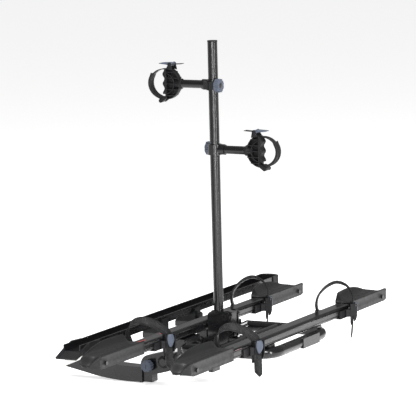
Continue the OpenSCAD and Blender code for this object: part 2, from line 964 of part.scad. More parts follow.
module wheel_strap(tray_y, strap_x, side) {
    color(rubber)
    station(tray_y, strap_x) {
        rotate(-strap_skew) {
            translate([0, 0, strap_leg_z])
                rotate([90, 0, 0])
                    strap_arch();
            // leg on the foot
            translate([-strap_r - strap_t / 2, -strap_w / 2, beam_z + 24])
                cube([strap_t, strap_w, strap_leg_z - beam_z - 24]);
        }
        // leg through the ratchet, and its slanted tail
        buckle(side)
            translate([0, strap_t / 2, 0])
                rotate([90, 0, 0])
                    linear_extrude(strap_t)
                        polygon([
                            [-strap_w / 2, strap_leg_z + 3], [-strap_w / 2, -34], [3, -50],
                            [strap_w / 2 - 2, -44], [strap_w / 2, -36], [strap_w / 2, strap_leg_z + 3]
                        ]);
    }
}

// Upper half of the strap's loop, in its own plane
module strap_arch() {
    linear_extrude(strap_w, center = true)
        difference() {
            circle(strap_r + strap_t / 2, $fn = 96);
            circle(strap_r - strap_t / 2, $fn = 96);
            translate([-100, -200]) square([200, 200]);
        }
}

module strap_lever(tray_y, strap_x, side) {
    color(slate)
    station(tray_y, strap_x)
    buckle(side) {
        translate([0, -8, lever_hinge_z]) x_cylinder(3 - run_gap, 35);
        translate([0, -8, lever_hinge_z]) x_cylinder(5, strap_w - 1);
        translate([-strap_w / 2 + 1, -12, lever_hinge_z - 34]) cube([strap_w - 2, 7, 34]);
    }
}

// ---------- ramp ----------

module ramp_channel() {
    color(black)
    rack()
    translate([ramp_x0, ramp_y - ramp_w / 2, ramp_top - ramp_h])
        difference() {
            cube([ramp_x1 - ramp_x0, ramp_w, ramp_h]);
            translate([-1, 3, 3]) cube([ramp_x1 - ramp_x0 + 2, ramp_w - 6, ramp_h]);
        }
}

module ramp_toe() {
    color(plastic)
    rack()
    translate([ramp_x0, ramp_y, ramp_top])
    difference() {
        rotate([90, 0, 0])
            linear_extrude(ramp_w + 12, center = true)
                polygon([[-42, -34], [25, -7], [58, 2], [119, -1], [119, -ramp_h - 4], [0, -ramp_h - 6], [-37, -40]]);
        // seat of the channel
        translate([0, -ramp_w / 2, -ramp_h]) cube([200, ramp_w, ramp_h + 40]);
        // trough that a tyre rolls up
        rotate([90, 0, 0])
            linear_extrude(ramp_w - 8, center = true)
                polygon([[-60, -36], [-39, -35.5], [0.5, -19], [0.5, 40], [-60, 40]]);
    }
}

module ramp_end_cap() {
    color(plastic)
    rack()
    difference() {
        intersection() {
            translate([ramp_x1 - 30, ramp_y - ramp_w / 2 - 3, ramp_top - ramp_h - 3])
                cube([60, ramp_w + 6, ramp_h + 6]);
            translate([ramp_x1 - 25, ramp_y, 0]) cylinder(r = 48, h = 200);
        }
        translate([ramp_x1 - 200, ramp_y - ramp_w / 2, ramp_top - ramp_h])
            cube([200, ramp_w, ramp_h + 40]);
    }
}

hitch_shank();
anti_rattle_wedge();
draw_rod();
tightening_knob();
tilt_pivot_bolt();
base_hoop();
crossbar();
frame_spine();
tilt_cheeks();
tilt_bushes();
knuckle_cover();
bumper_plate();
near_tray_posts();
ramp_arms();
ramp_cradles();
mast_bracket();
mast_pivot_bolt();
mast_lock_pin();
tilt_lever();
tilt_latch_pin();
mast_foot();
mast_tube();
mast_cap();
collar("upper");  // upper_collar
arm_tube("upper");  // upper_arm_tube
arm_knob("upper");  // upper_arm_knob
hook("upper");  // upper_hook
hook_pad("upper");  // upper_hook_pad
hook_strap("upper");  // upper_hook_strap
hook_lever("upper");  // upper_hook_lever
collar("lower");  // lower_collar
arm_tube("lower");  // lower_arm_tube
arm_knob("lower");  // lower_arm_knob
hook("lower");  // lower_hook
hook_pad("lower");  // lower_hook_pad
hook_strap("lower");  // lower_hook_strap
hook_lever("lower");  // lower_hook_lever
beam(far_tray_y);  // far_beam
cup(far_tray_y, left_cup_x, -1);  // far_left_cup
cup(far_tray_y, right_cup_x, 1);  // far_right_cup
strap_base(far_tray_y, left_strap_x, -1);  // far_left_strap_base
wheel_strap(far_tray_y, left_strap_x, -1);  // far_left_strap
strap_lever(far_tray_y, left_strap_x, -1);  // far_left_lever
strap_base(far_tray_y, right_strap_x, 1);  // far_right_strap_base
wheel_strap(far_tray_y, right_strap_x, 1);  // far_right_strap
strap_lever(far_tray_y, right_strap_x, 1);  // far_right_lever
beam(near_tray_y);  // near_beam
cup(near_tray_y, left_cup_x, -1);  // near_left_cup
cup(near_tray_y, right_cup_x, 1);  // near_right_cup
strap_base(near_tray_y, left_strap_x, -1);  // near_left_strap_base
wheel_strap(near_tray_y, left_strap_x, -1);  // near_left_strap
strap_lever(near_tray_y, left_strap_x, -1);  // near_left_lever
strap_base(near_tray_y, right_strap_x, 1);  // near_right_strap_base
wheel_strap(near_tray_y, right_strap_x, 1);  // near_right_strap
strap_lever(near_tray_y, right_strap_x, 1);  // near_right_lever
cup_bolts();
ramp_channel();
ramp_toe();
ramp_end_cap();
ramp_clamp_knob();
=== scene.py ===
"""Looks of the hitch mounted bike rack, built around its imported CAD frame."""

import json
import math

import bmesh
import bpy
from mathutils import Matrix, Vector


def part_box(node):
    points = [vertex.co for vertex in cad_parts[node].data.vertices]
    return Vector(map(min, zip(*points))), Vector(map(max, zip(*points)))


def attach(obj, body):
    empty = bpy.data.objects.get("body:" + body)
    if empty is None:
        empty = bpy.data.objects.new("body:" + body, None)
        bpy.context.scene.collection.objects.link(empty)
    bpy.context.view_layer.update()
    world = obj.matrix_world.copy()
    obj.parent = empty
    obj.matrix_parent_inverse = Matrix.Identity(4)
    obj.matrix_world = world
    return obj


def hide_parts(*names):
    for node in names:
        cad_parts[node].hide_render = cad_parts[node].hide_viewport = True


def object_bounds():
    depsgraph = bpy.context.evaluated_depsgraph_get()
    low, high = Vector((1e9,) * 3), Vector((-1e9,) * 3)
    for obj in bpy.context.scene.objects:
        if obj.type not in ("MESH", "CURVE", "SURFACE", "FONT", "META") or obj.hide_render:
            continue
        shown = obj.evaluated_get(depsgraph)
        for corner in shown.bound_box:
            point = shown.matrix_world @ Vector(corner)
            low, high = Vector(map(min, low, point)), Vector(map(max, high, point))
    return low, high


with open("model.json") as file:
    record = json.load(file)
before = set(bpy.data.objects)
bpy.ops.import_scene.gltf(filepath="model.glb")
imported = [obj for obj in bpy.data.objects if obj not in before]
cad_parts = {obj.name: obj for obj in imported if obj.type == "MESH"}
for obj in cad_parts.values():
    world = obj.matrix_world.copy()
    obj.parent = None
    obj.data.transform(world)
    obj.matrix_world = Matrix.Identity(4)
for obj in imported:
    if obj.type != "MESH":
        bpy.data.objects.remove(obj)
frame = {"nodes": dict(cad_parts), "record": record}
CAD_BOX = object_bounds()
NODES = frame["nodes"]
RECORD = frame["record"]
MM = 0.001


# ---------- camera, floor and light ----------

BEARING = math.radians(27.81)  # from the trays' long axis round to the camera's line of sight
ELEVATION = math.radians(8.28)
ROLL = math.radians(-1.414)
DISTANCE = 10.04
LENS = 266.5
LOOK_AT = Vector((0.041, -0.456, 0.535))


def add_camera():
    """Looks at the rack along the trays from the outer left, a little from above."""
    ahead = Vector((math.cos(BEARING) * math.cos(ELEVATION), math.sin(BEARING) * math.cos(ELEVATION),
                    -math.sin(ELEVATION)))
    level = Vector((math.sin(BEARING), -math.cos(BEARING), 0))
    upright = level.cross(ahead)
    right = level * math.cos(ROLL) + upright * math.sin(ROLL)
    up = upright * math.cos(ROLL) - level * math.sin(ROLL)
    camera = bpy.data.objects.new("camera", bpy.data.cameras.new("camera"))
    camera.data.lens = LENS
    camera.data.sensor_width = 36
    camera.data.clip_end = 60
    place = LOOK_AT - ahead * DISTANCE
    camera.matrix_world = Matrix((
        (right.x, up.x, -ahead.x, place.x),
        (right.y, up.y, -ahead.y, place.y),
        (right.z, up.z, -ahead.z, place.z),
        (0, 0, 0, 1),
    ))
    bpy.context.scene.collection.objects.link(camera)
    bpy.context.scene.camera = camera


def add_floor():
    """A wide pale floor just under the rack."""
    low = CAD_BOX[0][2] - 0.002
    size = 40
    mesh = bpy.data.meshes.new("floor")
    mesh.from_pydata([(-size, -size, low), (size, -size, low), (size, size, low), (-size, size, low)],
                     [], [(0, 1, 2, 3)])
    floor = bpy.data.objects.new("floor", mesh)
    bpy.context.scene.collection.objects.link(floor)
    material = bpy.data.materials.new("floor")
    material.use_nodes = True
    shader = material.node_tree.nodes["Principled BSDF"]
    shader.inputs["Base Color"].default_value = (0.9, 0.9, 0.9, 1)
    shader.inputs["Emission Color"].default_value = (1, 1, 1, 1)
    shader.inputs["Emission Strength"].default_value = 0.62
    shader.inputs["Roughness"].default_value = 0.9
    shader.inputs["Specular IOR Level"].default_value = 0.1
    mesh.materials.append(material)


def area_light(name, place, size, power):
    """A rectangular lamp at place, facing the rack."""
    data = bpy.data.lights.new(name, "AREA")
    data.shape = "RECTANGLE"
    data.size, data.size_y = size
    data.energy = power
    light = bpy.data.objects.new(name, data)
    light.location = place
    light.rotation_euler = (LOOK_AT - Vector(place)).to_track_quat("-Z", "Y").to_euler()
    bpy.context.scene.collection.objects.link(light)


def add_light():
    """Soft studio light: a pale surround, two broad lamps and three strips for the edges' glints."""
    world = bpy.data.worlds.new("studio")
    bpy.context.scene.world = world
    world.use_nodes = True
    background = world.node_tree.nodes["Background"]
    background.inputs["Color"].default_value = (1, 1, 1, 1)
    # the backdrop is white to look at, but lights the rack only softly
    path = world.node_tree.nodes.new("ShaderNodeLightPath")
    strength = world.node_tree.nodes.new("ShaderNodeMapRange")
    strength.inputs["To Min"].default_value = 0.3
    strength.inputs["To Max"].default_value = 1.0
    world.node_tree.links.new(path.outputs["Is Camera Ray"], strength.inputs["Value"])
    world.node_tree.links.new(strength.outputs["Result"], background.inputs["Strength"])
    area_light("key", (-2.6, -4.2, 3.6), (1.2, 2.6), 240)
    area_light("top", (0.4, -0.6, 4.2), (2.4, 0.9), 170)
    area_light("low_strip", (-3.6, -3.0, 0.6), (0.5, 1.4), 50)
    area_light("tall_strip_right", (-1.4, -5.4, 1.0), (0.22, 3.6), 120)
    area_light("tall_strip_left", (-5.6, -1.9, 1.2), (0.2, 3.6), 120)
    bpy.context.scene.view_settings.view_transform = "Standard"


# ---------- materials ----------

def new_material(name, colour, roughness, metallic=0.0, coat=0.0, coat_roughness=0.2, specular=0.5):
    """A new material with constant values, returned with its node tree and its shader."""
    material = bpy.data.materials.new(name)
    material.use_nodes = True
    tree = material.node_tree
    shader = tree.nodes["Principled BSDF"]
    shader.inputs["Base Color"].default_value = (*colour, 1)
    shader.inputs["Metallic"].default_value = metallic
    shader.inputs["Roughness"].default_value = roughness
    shader.inputs["Coat Weight"].default_value = coat
    shader.inputs["Coat Roughness"].default_value = coat_roughness
    shader.inputs["Specular IOR Level"].default_value = specular
    return material, tree, shader


def place_coordinates(tree):
    """The object's own coordinates, so that a pattern moves with its piece."""
    return tree.nodes.new("ShaderNodeTexCoord").outputs["Object"]


def noise(tree, scale, detail=3.0, roughness=0.5):
    """A noise value that varies with the place on the object."""
    node = tree.nodes.new("ShaderNodeTexNoise")
    node.inputs["Scale"].default_value = scale
    node.inputs["Detail"].default_value = detail
    node.inputs["Roughness"].default_value = roughness
    tree.links.new(place_coordinates(tree), node.inputs["Vector"])
    return node.outputs["Fac"]


def ramp(tree, value, low, high, first, last):
    """Carries value from the range low to high over to first to last."""
    node = tree.nodes.new("ShaderNodeMapRange")
    node.inputs["From Min"].default_value = low
    node.inputs["From Max"].default_value = high
    node.inputs["To Min"].default_value = first
    node.inputs["To Max"].default_value = last
    tree.links.new(value, node.inputs["Value"])
    return node.outputs["Result"]


def mix_colour(tree, factor, first, second):
    """A colour between first and second by factor."""
    node = tree.nodes.new("ShaderNodeMix")
    node.data_type = "RGBA"
    node.inputs["A"].default_value = (*first, 1)
    node.inputs["B"].default_value = (*second, 1)
    tree.links.new(factor, node.inputs["Factor"])
    return node.outputs["Result"]


def add_bump(tree, shader, height, strength, distance):
    """Fine grain from a height value."""
    node = tree.nodes.new("ShaderNodeBump")
    node.inputs["Strength"].default_value = strength
    node.inputs["Distance"].default_value = distance
    tree.links.new(height, node.inputs["Height"])
    tree.links.new(node.outputs["Normal"], shader.inputs["Normal"])


def shade(value, factor):
    """A colour made lighter or darker, kept within white."""
    return tuple(min(1.0, c * factor) for c in value)


def powder_coat():
    """Glossy black paint on the steel, slightly patchy and grained."""
    base = (0.0035, 0.0035, 0.004)
    material, tree, shader = new_material("black_powder_coat", base, 0.3, coat=0.6, coat_roughness=0.12,
                                          specular=0.13)
    patches = noise(tree, 18, 2)
    tree.links.new(mix_colour(tree, patches, base, shade(base, 1.5)), shader.inputs["Base Color"])
    tree.links.new(ramp(tree, noise(tree, 60, 4), 0.3, 0.7, 0.24, 0.36), shader.inputs["Roughness"])
    add_bump(tree, shader, noise(tree, 900, 2), 0.06, 0.0004)
    return material


def moulded_plastic(name, colour, roughness, grain=900, bump=0.22, spread=1.35):
    """Moulded plastic or rubber; spread is how much lighter its pale patches are."""
    material, tree, shader = new_material(name, colour, roughness, specular=0.17)
    patches = noise(tree, 14, 3)
    tree.links.new(mix_colour(tree, patches, colour, shade(colour, spread)), shader.inputs["Base Color"])
    tree.links.new(ramp(tree, noise(tree, 90, 4), 0.3, 0.7, roughness - 0.07, roughness + 0.08),
                   shader.inputs["Roughness"])
    add_bump(tree, shader, noise(tree, grain, 4, 0.6), bump, 0.0006)
    return material


def zinc_plate():
    """Bare zinc plating with faint spangles."""
    base = (0.62, 0.62, 0.6)
    material, tree, shader = new_material("zinc_plate", base, 0.28, metallic=1.0)
    spangle = noise(tree, 160, 3)
    tree.links.new(mix_colour(tree, spangle, shade(base, 0.8), shade(base, 1.15)),
                   shader.inputs["Base Color"])
    tree.links.new(ramp(tree, spangle, 0.3, 0.7, 0.2, 0.42), shader.inputs["Roughness"])
    add_bump(tree, shader, noise(tree, 900, 2), 0.1, 0.0004)
    return material


COAT = powder_coat()
PLASTIC = moulded_plastic("textured_black_plastic", (0.0075, 0.0075, 0.0082), 0.46)
CUP = moulded_plastic("cup_plastic", (0.0115, 0.0115, 0.012), 0.42, 800, 0.2)
STRAP = moulded_plastic("strap_plastic", (0.0095, 0.0095, 0.010), 0.42, 700, 0.18)
SLATE = moulded_plastic("slate_plastic", (0.058, 0.068, 0.09), 0.4, 1100, 0.1, 1.2)
RUBBER = moulded_plastic("soft_rubber", (0.009, 0.009, 0.0095), 0.62, 600, 0.3)
ZINC = zinc_plate()
MARK = moulded_plastic("red_mark", (0.30, 0.06, 0.055), 0.5, 900, 0.1, 1.3)
PALE_MARK = moulded_plastic("pale_mark", (0.22, 0.15, 0.15), 0.5, 900, 0.1, 1.3)

FINISHES = {
    "black_coat": COAT,
    "black_plastic": PLASTIC,
    "strap_plastic": STRAP,
    "slate_plastic": SLATE,
    "rubber": RUBBER,
    "zinc": ZINC,
}


def soften(node, width):
    """Rounds a CAD node's hard edges a little, without touching its mesh."""
    bevel = node.modifiers.new("edge", "BEVEL")
    bevel.width = width
    bevel.segments = 2
    bevel.limit_method = "ANGLE"
    bevel.angle_limit = math.radians(35)
    bevel.use_clamp_overlap = True
    bevel.harden_normals = True


EDGES = {
    "hitch_shank": 1.6,
    "anti_rattle_wedge": 1.2,
    "tightening_knob": 1.6,
    "upper_arm_knob": 1.6,
    "lower_arm_knob": 1.6,
    "mast_pivot_bolt": 1.4,
    "mast_lock_pin": 1.4,
    "near_tray_posts": 1.4,
    "frame_spine": 1.4,
    "mast_foot": 1.4,
}


def finish_cad_nodes():
    """Gives every CAD node its material and softly rounded edges."""
    for entry in RECORD["subparts"]:
        node = NODES[entry["node"]]
        node.data.materials.clear()
        node.data.materials.append(FINISHES[entry["material_slot"]])
        soften(node, EDGES.get(entry["node"], 0.8) * MM)


# ---------- places taken from the frame ----------

def middle(node):
    """The middle of a CAD node's box at rest."""
    low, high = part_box(node)
    return (Vector(low) + Vector(high)) / 2


MAST_AXIS = middle("mast_tube")
BEAM_LOW, BEAM_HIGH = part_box("near_beam")
BEAM_TOP = BEAM_HIGH[2]
BEAM_BASE = BEAM_LOW[2]
# the hoop's tube centre, and the mast's axis at that height
HOOP_HEIGHT = BEAM_BASE - 25 * MM
MAST_DATUM = Vector((MAST_AXIS.x, MAST_AXIS.y, HOOP_HEIGHT))


# ---------- mesh helpers ----------

def smooth_step(value, first, last):
    """0 before first, 1 after last, and an even curve between."""
    t = min(1.0, max(0.0, (value - first) / (last - first)))
    return t * t * (3 - 2 * t)


def new_object(name, verts, faces, material, body, slot, replaced=(), bevel=0.0, angle=40):
    """A finished piece: mesh, material, rounded edges, and what it rides on and stands for."""
    mesh = bpy.data.meshes.new(name)
    mesh.from_pydata([tuple(v) for v in verts], [], faces)
    work = bmesh.new()
    work.from_mesh(mesh)
    bmesh.ops.remove_doubles(work, verts=work.verts, dist=1e-6)
    bmesh.ops.recalc_face_normals(work, faces=work.faces)
    work.to_mesh(mesh)
    work.free()
    piece = bpy.data.objects.new(name, mesh)
    bpy.context.scene.collection.objects.link(piece)
    mesh.materials.append(material)
    if bevel:
        edge = piece.modifiers.new("edge", "BEVEL")
        edge.width = bevel
        edge.segments = 3
        edge.limit_method = "ANGLE"
        edge.angle_limit = math.radians(angle)
        edge.use_clamp_overlap = True
    mesh.polygons.foreach_set("use_smooth", [True] * len(mesh.polygons))
    with bpy.context.temp_override(object=piece, active_object=piece, selected_objects=[piece],
                                   selected_editable_objects=[piece]):
        bpy.ops.object.shade_auto_smooth(angle=math.radians(38))
    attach(piece, body)
    if replaced:
        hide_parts(*replaced)
    return piece


def loft(rings):
    """Verts and faces of a closed tube through rings of equally many points, with both ends capped."""
    count = len(rings[0])
    verts = [p for ring in rings for p in ring]
    faces = []
    for row in range(len(rings) - 1):
        for i in range(count):
            j = (i + 1) % count
            faces.append((row * count + i, row * count + j, (row + 1) * count + j, (row + 1) * count + i))
    faces.append(tuple(reversed(range(count))))
    faces.append(tuple(range((len(rings) - 1) * count, len(rings) * count)))
    return verts, faces


def slab(outline, thickness, place):
    """A plate: outline of (a, b) points, thick about the middle, put in space by place(a, b, depth)."""
    half = thickness / 2
    count = len(outline)
    verts = [place(a, b, -half) for a, b in outline] + [place(a, b, half) for a, b in outline]
    faces = [tuple(reversed(range(count))), tuple(range(count, 2 * count))]
    for i in range(count):
        j = (i + 1) % count
        faces.append((i, j, count + j, count + i))
    return verts, faces


def arc(centre, radius, first, last, steps):
    """Points on an arc, angles in degrees from the first axis towards the second."""
    points = []
    for i in range(steps + 1):
        angle = math.radians(first + (last - first) * i / steps)
        points.append((centre[0] + radius * math.cos(angle), centre[1] + radius * math.sin(angle)))
    return points


# ---------- wheel cups ----------

CUP_FLOOR = 38 * MM
CUP_NEAR = 29.4 * MM
CUP_INNER_FAR = 31 * MM
CUP_COVER = 252 * MM
BEAM_HALF = 25.4 * MM
LOW_WALL = 43.2 * MM
HIGH_WALL = 64.2 * MM
NOSE_CENTRE = 8 * MM
NOSE_RADIUS = 46.6 * MM
LOW_WALL_FALL = 32 * MM
HIGH_WALL_FALL = 24 * MM
HIGH_WALL_CLIMB = 26 * MM  # length of the high wall's slope at the inner end
CROWN_START = 110 * MM  # from here outwards the high wall's rim sinks along an arc
CROWN_RADIUS = 400 * MM
NOSE_DROP = 24 * MM


def rounded_fall(x, top, end, radius):
    """Height of a wall that ends in a quarter round at its outer end."""
    past = min(max(0.0, x - (end - radius)), radius)
    return top - radius + math.sqrt(radius * radius - past * past)


def cup_sections(length, half):
    """Stations along a cup from its inner end: place, near side, far side, floor, both rims, underside."""
    steps = 84
    for i in range(steps + 1):
        x = length * (1 - (1 - i / steps) ** 1.5)
        past = max(0.0, x - (length - NOSE_RADIUS))
        bow = math.sqrt(max(0.0, NOSE_RADIUS ** 2 - past ** 2))
        far = CUP_INNER_FAR + (half - CUP_INNER_FAR) * math.sin(math.pi / 2 * min(1.0, x / (0.42 * length)))
        near = CUP_NEAR
        if past > 0:
            far = min(far, NOSE_CENTRE + bow)
            near = min(near, max(bow - NOSE_CENTRE, 4 * MM))
            far = max(far, NOSE_CENTRE + 4 * MM)
        low = rounded_fall(x, LOW_WALL, length - 1 * MM, LOW_WALL_FALL)
        high = HIGH_WALL
        if x > CROWN_START:
            high -= CROWN_RADIUS - math.sqrt(CROWN_RADIUS ** 2 - (x - CROWN_START) ** 2)
        high = min(high, rounded_fall(x, high, length - 1 * MM, HIGH_WALL_FALL))
        high = min(high, CUP_FLOOR + 2 * MM + (HIGH_WALL - CUP_FLOOR) * x / HIGH_WALL_CLIMB)
        tip = smooth_step(x, CUP_COVER, length - 2 * MM)
        floor = CUP_FLOOR - NOSE_DROP * tip
        low = max(low, floor + 0.6 * MM)
        high = max(high, floor + 1.2 * MM)
        bottom = 1 * MM * x / length + 7.5 * MM * smooth_step(x, CUP_COVER + 6 * MM, length)
        yield x, near, far, floor, low, high, bottom


def cup_ring(near, far, floor, low, high, bottom):
    """One closed section of a cup, as (across, up) points; the near wall is the low one."""
    rise = low - floor
    climb = high - floor
    foot = far - min(11 * MM, 0.3 * climb + 3 * MM)
    skirt = min(BEAM_HALF + 3.6 * MM, far - 0.4 * MM)
    roof = max(min(floor - 3.4 * MM, 34.6 * MM), bottom + 0.6 * MM)
    inner_near = -(near - 3.4 * MM)
    inner_far = max(skirt - 3.2 * MM, inner_near + 1 * MM)
    step = min(1.1 * MM, near * 0.1)
    return [
        (-near + step, bottom),
        (-near + step, bottom + (low - bottom) * 0.4),
        (-near + step, low - min(7 * MM, (low - bottom) * 0.5)),
        (-near, low - min(6 * MM, (low - bottom) * 0.42)),
        (-near, low - min(1.6 * MM, (low - bottom) * 0.2)),
        (-near + 0.8 * MM, low - 0.3 * MM),
        (-near + 2.0 * MM, low),
        (-near + 3.4 * MM, low - 0.4 * MM),
        (-near + 4.4 * MM, floor + rise * 0.55),
        (-near + 6.2 * MM, floor + rise * 0.22),
        (-near + 9.0 * MM, floor + rise * 0.05),
        (-near * 0.36, floor - 0.3 * MM),
        (-near * 0.30, floor - 1.1 * MM),
        (near * 0.14, floor - 1.1 * MM),
        (near * 0.20, floor - 0.3 * MM),
        (foot * 0.52, floor + climb * 0.02),
        (foot * 0.80, floor + climb * 0.10),
        (foot * 0.97, floor + climb * 0.28),
        (foot + (far - foot) * 0.35, floor + climb * 0.56),
        (foot + (far - foot) * 0.62, high - min(3.0 * MM, climb * 0.16)),
        (far - 3.2 * MM, high - min(0.8 * MM, climb * 0.05)),
        (far - 1.8 * MM, high),
        (far - 0.5 * MM, high - 0.4 * MM),
        (far, high - min(1.6 * MM, climb * 0.1)),
        (skirt + (far - skirt) * 0.72, bottom + (high - bottom) * 0.68),
        (skirt, bottom + (high - bottom) * 0.36),
        (skirt, bottom),
        (inner_far, bottom),
        (inner_far, roof),
        (inner_near, roof),
        (inner_near, bottom),
    ]


def add_cup(node):
    """The moulded wheel cup over one end of a beam."""
    low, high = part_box(node)
    outward = 1 if (low[0] + high[0]) / 2 > 0 else -1
    inner_x = low[0] if outward > 0 else high[0]
    beam = node.split("_")[0] + "_beam"
    centre = middle(beam).y
    length = high[0] - low[0]
    rings = []
    for x, near, far, floor, low_rim, high_rim, bottom in cup_sections(length, high[1] - centre - 0.4 * MM):
        rings.append([Vector((inner_x + outward * x, centre + a, BEAM_BASE + b))
                      for a, b in cup_ring(near, far, floor, low_rim, high_rim, bottom)])
    verts, faces = loft(rings)
    new_object(node + "_moulding", verts, faces, CUP, "frame", "black_plastic", [node])


# ---------- wheel straps ----------

STRAP_WIDTH = 28 * MM
STRAP_THICKNESS = 3.4 * MM
TAIL_TAPER = 16 * MM
TAIL_ROUND = 7 * MM
LEVER_HALF_WIDTH = 13.2 * MM
PIN_HEIGHT = HOOP_HEIGHT + 60 * MM
BUCKLE_TURN = math.radians(28)
BUCKLE_OFFSET = Vector((41.7 * MM, -43.2 * MM, 0))
HINGE_OUT = 8 * MM

# A strap's path over the wheel and the way its width points, from the foot to the tail's tip:
# (x, y, z from the beam's middle and the hoop's centre height in mm, then the width's direction)
LEFT_PATH = (
    ((-48, 46, 44), (1.0, -0.05, 0)),
    ((-64, 45, 68), (1.0, -0.05, 0)),
    ((-74, 40, 94), (1.0, 0.1, 0.1)),
    ((-71, 26, 114), (0.8, 0.3, 0.4)),
    ((-54, 9, 122), (0.65, 0.25, 0.55)),
    ((-28, -8, 116), (0.7, -0.1, 0.55)),
    ((2, -25, 99), (0.8, -0.35, 0.4)),
    ((27, -37, 79), (0.88, -0.47, 0.1)),
    ((40, -42, 62), (0.88, -0.47, 0)),
    ((42, -43, 44), (0.88, -0.47, 0)),
    ((42, -43, 10), (0.88, -0.47, 0)),
    ((41, -45, -49), (0.88, -0.47, 0)),
)
RIGHT_PATH = (
    ((-46, 44, 46), (0.95, 0.2, -0.2)),
    ((-55, 44, 74), (0.95, 0.2, -0.2)),
    ((-52, 36, 104), (0.9, 0.3, -0.3)),
    ((-28, 18, 130), (0.8, 0.3, -0.4)),
    ((6, -2, 139), (0.8, 0.35, -0.4)),
    ((38, -22, 124), (0.8, 0.4, -0.35)),
    ((52, -36, 96), (0.85, 0.45, -0.2)),
    ((46, -42, 70), (0.88, 0.47, 0)),
    ((42, -43, 50), (0.88, 0.47, 0)),
    ((40, -43, 22), (0.88, 0.47, 0)),
    ((28, -46, -12), (0.88, 0.47, 0.2)),
    ((12, -50, -44), (0.88, 0.47, 0.3)),
)


def curve_point(stops, t):
    """A smooth curve through stops, t from 0 at the first to 1 at the last."""
    spot = t * (len(stops) - 1)
    i = min(int(spot), len(stops) - 2)
    u = spot - i
    before = stops[max(i - 1, 0)]
    start = stops[i]
    end = stops[i + 1]
    after = stops[min(i + 2, len(stops) - 1)]
    return 0.5 * (2 * start + (end - before) * u + (2 * before - 5 * start + 4 * end - after) * u * u
                  + (3 * start - before - 3 * end + after) * u * u * u)


def band(path, width_at, thickness, tooth_pitch, tooth_height):
    """A flexible band along path, a list of (point, outward, across), with teeth over its outside."""
    rings = []
    run = 0.0
    last = None
    for point, outward, across in path:
        if last is not None:
            run += (point - last).length
        last = point
        phase = (run / tooth_pitch) % 1.0
        raised = tooth_height if phase < 0.5 else 0.0
        low, high = width_at(run)
        rim = min(3.2 * MM, (high - low) * 0.25)
        outer = thickness / 2
        inner = -thickness / 2
        rings.append([
            point + across * low + outward * inner,
            point + across * low + outward * outer,
            point + across * (low + rim) + outward * outer,
            point + across * (low + rim) + outward * (outer - 0.8 * MM + raised),
            point + across * (high - rim) + outward * (outer - 0.8 * MM + raised),
            point + across * (high - rim) + outward * outer,
            point + across * high + outward * outer,
            point + across * high + outward * inner,
        ])
    return loft(rings)


def station_centre(prefix):
    """A strap station's centre, its buckle's place and two directions, and its side of the mast."""
    low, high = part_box(prefix + "_strap")
    side = 1 if low[0] > 0 else -1
    across = Vector((math.cos(BUCKLE_TURN), side * math.sin(BUCKLE_TURN), 0))
    outward = Vector((side * math.sin(BUCKLE_TURN), -math.cos(BUCKLE_TURN), 0))
    lever_middle = middle(prefix + "_lever")
    buckle = Vector((lever_middle.x, lever_middle.y, 0)) - outward * 7.4 * MM
    return buckle - BUCKLE_OFFSET, buckle, across, outward, side


def add_wheel_strap(prefix):
    """The ribbed strap from its foot, over the wheel, through the ratchet and down to its tail."""
    centre, buckle, across, outward, side = station_centre(prefix)
    datum = centre + Vector((0, 0, HOOP_HEIGHT))
    stops = LEFT_PATH if side < 0 else RIGHT_PATH
    points = [Vector(place) * MM for place, width in stops]
    widths = [Vector(width).normalized() for place, width in stops]
    steps = 420
    line = [datum + curve_point(points, i / steps) for i in range(steps + 1)]
    total = sum((line[i + 1] - line[i]).length for i in range(steps))
    middle_of_loop = datum + Vector((0, 0, 84 * MM))
    path = []
    for i, point in enumerate(line):
        ahead = (line[min(i + 1, steps)] - line[max(i - 1, 0)]).normalized()
        wide = curve_point(widths, i / steps)
        wide = (wide - ahead * wide.dot(ahead)).normalized()
        out = ahead.cross(wide)
        if out.dot(outward if i > steps * 0.75 else point - middle_of_loop) < 0:
            out = -out
        path.append((point, out, wide))

    def width_at(run):
        """Both edges across the strap, drawn in towards the tail's slanted tip."""
        left = total - run
        low = -STRAP_WIDTH / 2
        high = STRAP_WIDTH / 2
        if left < TAIL_TAPER:
            low = -STRAP_WIDTH / 2 + (TAIL_TAPER - left) * 0.95
            high = STRAP_WIDTH / 2 - max(0.0, TAIL_ROUND - left) * 1.3
        return low, high

    verts, faces = band(path, width_at, STRAP_THICKNESS, 5 * MM, 1.3 * MM)
    new_object(prefix + "_ribbed_strap", verts, faces, STRAP, prefix + "_station", "strap_plastic",
               [prefix + "_strap"])


def add_strap_lever(prefix):
    """The slate thumb lever: a leaf shape hanging over the ratchet, pointed at its lower end."""
    node = prefix + "_lever"
    low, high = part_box(node)
    centre, buckle, across, outward, side = station_centre(prefix)
    top = high[2] + 1.5 * MM
    length = top - low[2]
    rings = []
    steps = 22
    for i in range(steps + 1):
        t = i / steps
        half = LEVER_HALF_WIDTH * max(0.06, math.sin(math.pi * (0.16 + 0.82 * t) ** 0.9)) ** 0.62
        thick = (4.4 - 2.4 * t) * MM
        bow = (HINGE_OUT + 1.6 * MM + 2.6 * MM * math.sin(math.pi * t))
        spot = buckle + outward * bow + Vector((0, 0, top - length * t))
        ring = []
        for k in range(28):
            angle = 2 * math.pi * k / 28
            depth = math.sin(angle)
            dish = 0.9 * MM * max(0.0, depth) * math.cos(angle) ** 2 * -1
            ring.append(spot + across * (half * math.cos(angle)) + outward * (thick * depth + dish))
        rings.append(ring)
    new_object(prefix + "_ratchet_lever", *loft(rings), SLATE, prefix + "_buckle", "slate_plastic", [node])


